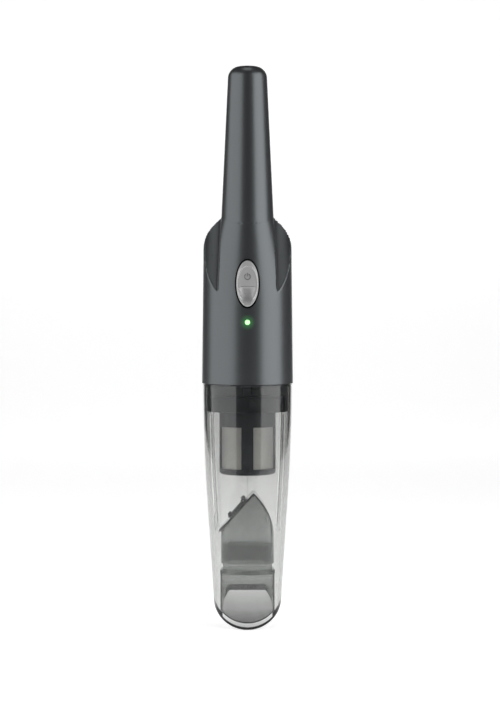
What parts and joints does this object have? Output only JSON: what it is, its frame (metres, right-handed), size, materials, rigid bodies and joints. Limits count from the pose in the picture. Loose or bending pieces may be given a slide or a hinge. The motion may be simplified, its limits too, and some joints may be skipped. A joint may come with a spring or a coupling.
{
  "type": "cordless handheld vacuum",
  "caption": "Slim upright handheld vacuum with a tapered handle, an oval thumb button, a status light and a smoked-clear dust container with a slanted suction mouth.",
  "frame": {"origin": "middle of the hand grip, on the body's long axis", "axes": "+Z along the body towards the handle's end, -Y towards the button's side, +X to the right seen from the button's side"},
  "size_m": [0.0728, 0.0728, 0.447],
  "materials": {
    "housing": "satin grey",
    "screws": "plated",
    "light_lens": "clear green",
    "inner_frame": "satin",
    "seal_rubber": "matte",
    "motor_steel": "plated",
    "magnet": "matte",
    "bronze": "sintered",
    "carbon": "matte",
    "end_cap": "satin",
    "tabs": "bare",
    "board": "lacquered",
    "chips": "satin",
    "light": "lit green",
    "cells": "sleeved",
    "nickel": "nickel plated",
    "red_wire": "satin",
    "black_wire": "satin",
    "grey_wire": "satin",
    "socket": "satin",
    "foam": "open cell foam",
    "spring_steel": "bright",
    "button": "satin silver",
    "release": "satin",
    "fan": "moulded",
    "copper": "bare copper",
    "clear_grey": "smoked clear",
    "clear_grey_duct": "smoked clear",
    "flap_rubber": "matte",
    "filter_plastic": "satin",
    "mesh": "fine mesh",
    "filter_paper": "pleated",
    "filter_caps": "moulded"
  },
  "bodies": {
    "housing": {"front_cover": "housing", "rear_cover": "housing", "cover_screws": "screws", "led_lens": "light_lens", "motor_frame": "inner_frame", "frame_seal": "seal_rubber", "fan_housing": "inner_frame", "motor_can": "motor_steel", "motor_magnets": "magnet", "motor_bushes": "bronze", "motor_brushes": "carbon", "motor_end_cap": "end_cap", "motor_terminals": "tabs", "motor_screws": "screws", "motor_damper": "seal_rubber", "motor_cradle": "inner_frame", "circuit_board": "board", "board_components": "chips", "board_screws": "screws", "push_switch": "chips", "status_led": "light", "battery_cells": "cells", "battery_cradle": "inner_frame", "battery_tabs": "nickel", "battery_leads": "red_wire", "charge_leads": "black_wire", "motor_leads": "grey_wire", "charge_socket": "socket", "charge_pin": "nickel", "exhaust_filter": "foam", "latch_pin": "nickel", "latch_spring": "spring_steel"},
    "rotor": {"motor_shaft": "nickel", "impeller": "fan", "armature_core": "motor_steel", "armature_windings": "copper", "commutator": "copper"},
    "power_button": {"button_cap": "button", "switch_plunger": "chips"},
    "release_lever": {"release_button": "release"},
    "dust_container": {"container_shell": "clear_grey", "nozzle_throat": "clear_grey", "inlet_duct": "clear_grey_duct", "flap_pin": "nickel"},
    "flap": {"flap_valve": "flap_rubber"},
    "filter": {"filter_frame": "filter_plastic", "filter_gasket": "seal_rubber", "filter_mesh": "mesh", "pleated_filter": "filter_paper", "filter_end_caps": "filter_caps"}
  },
  "joints": [
    {"name": "motor_spin", "type": "hinge", "parent": "housing", "child": "rotor", "pos_m": [0, 0, -0.141], "axis": [0, 0, 1], "continuous": true},
    {"name": "button_press", "type": "slide", "parent": "housing", "child": "power_button", "axis": [0, 1, 0], "range_m": [0, 0.0015], "stiffness_N_per_m": 600, "springref_m": -0.003},
    {"name": "release_press", "type": "hinge", "parent": "housing", "child": "release_lever", "pos_m": [0, 0.03, -0.1545], "axis": [-1, 0, 0], "range_deg": [0, 4.5], "stiffness_Nm_per_rad": 0.6, "springref_deg": -3.44, "deforming": ["latch_spring"]},
    {"name": "container_slide", "type": "slide", "parent": "housing", "child": "dust_container", "axis": [0, 0, -1], "range_m": [0, 0.1]},
    {"name": "flap_swing", "type": "hinge", "parent": "dust_container", "child": "flap", "pos_m": [-0.00347, 0, -0.2789], "axis": [0, 1, 0], "range_deg": [0, 40], "stiffness_Nm_per_rad": 0.002, "springref_deg": -5.73},
    {"name": "filter_slide", "type": "slide", "parent": "housing", "child": "filter", "axis": [0, 0, -1], "range_m": [0, 0.012]}
  ]
}
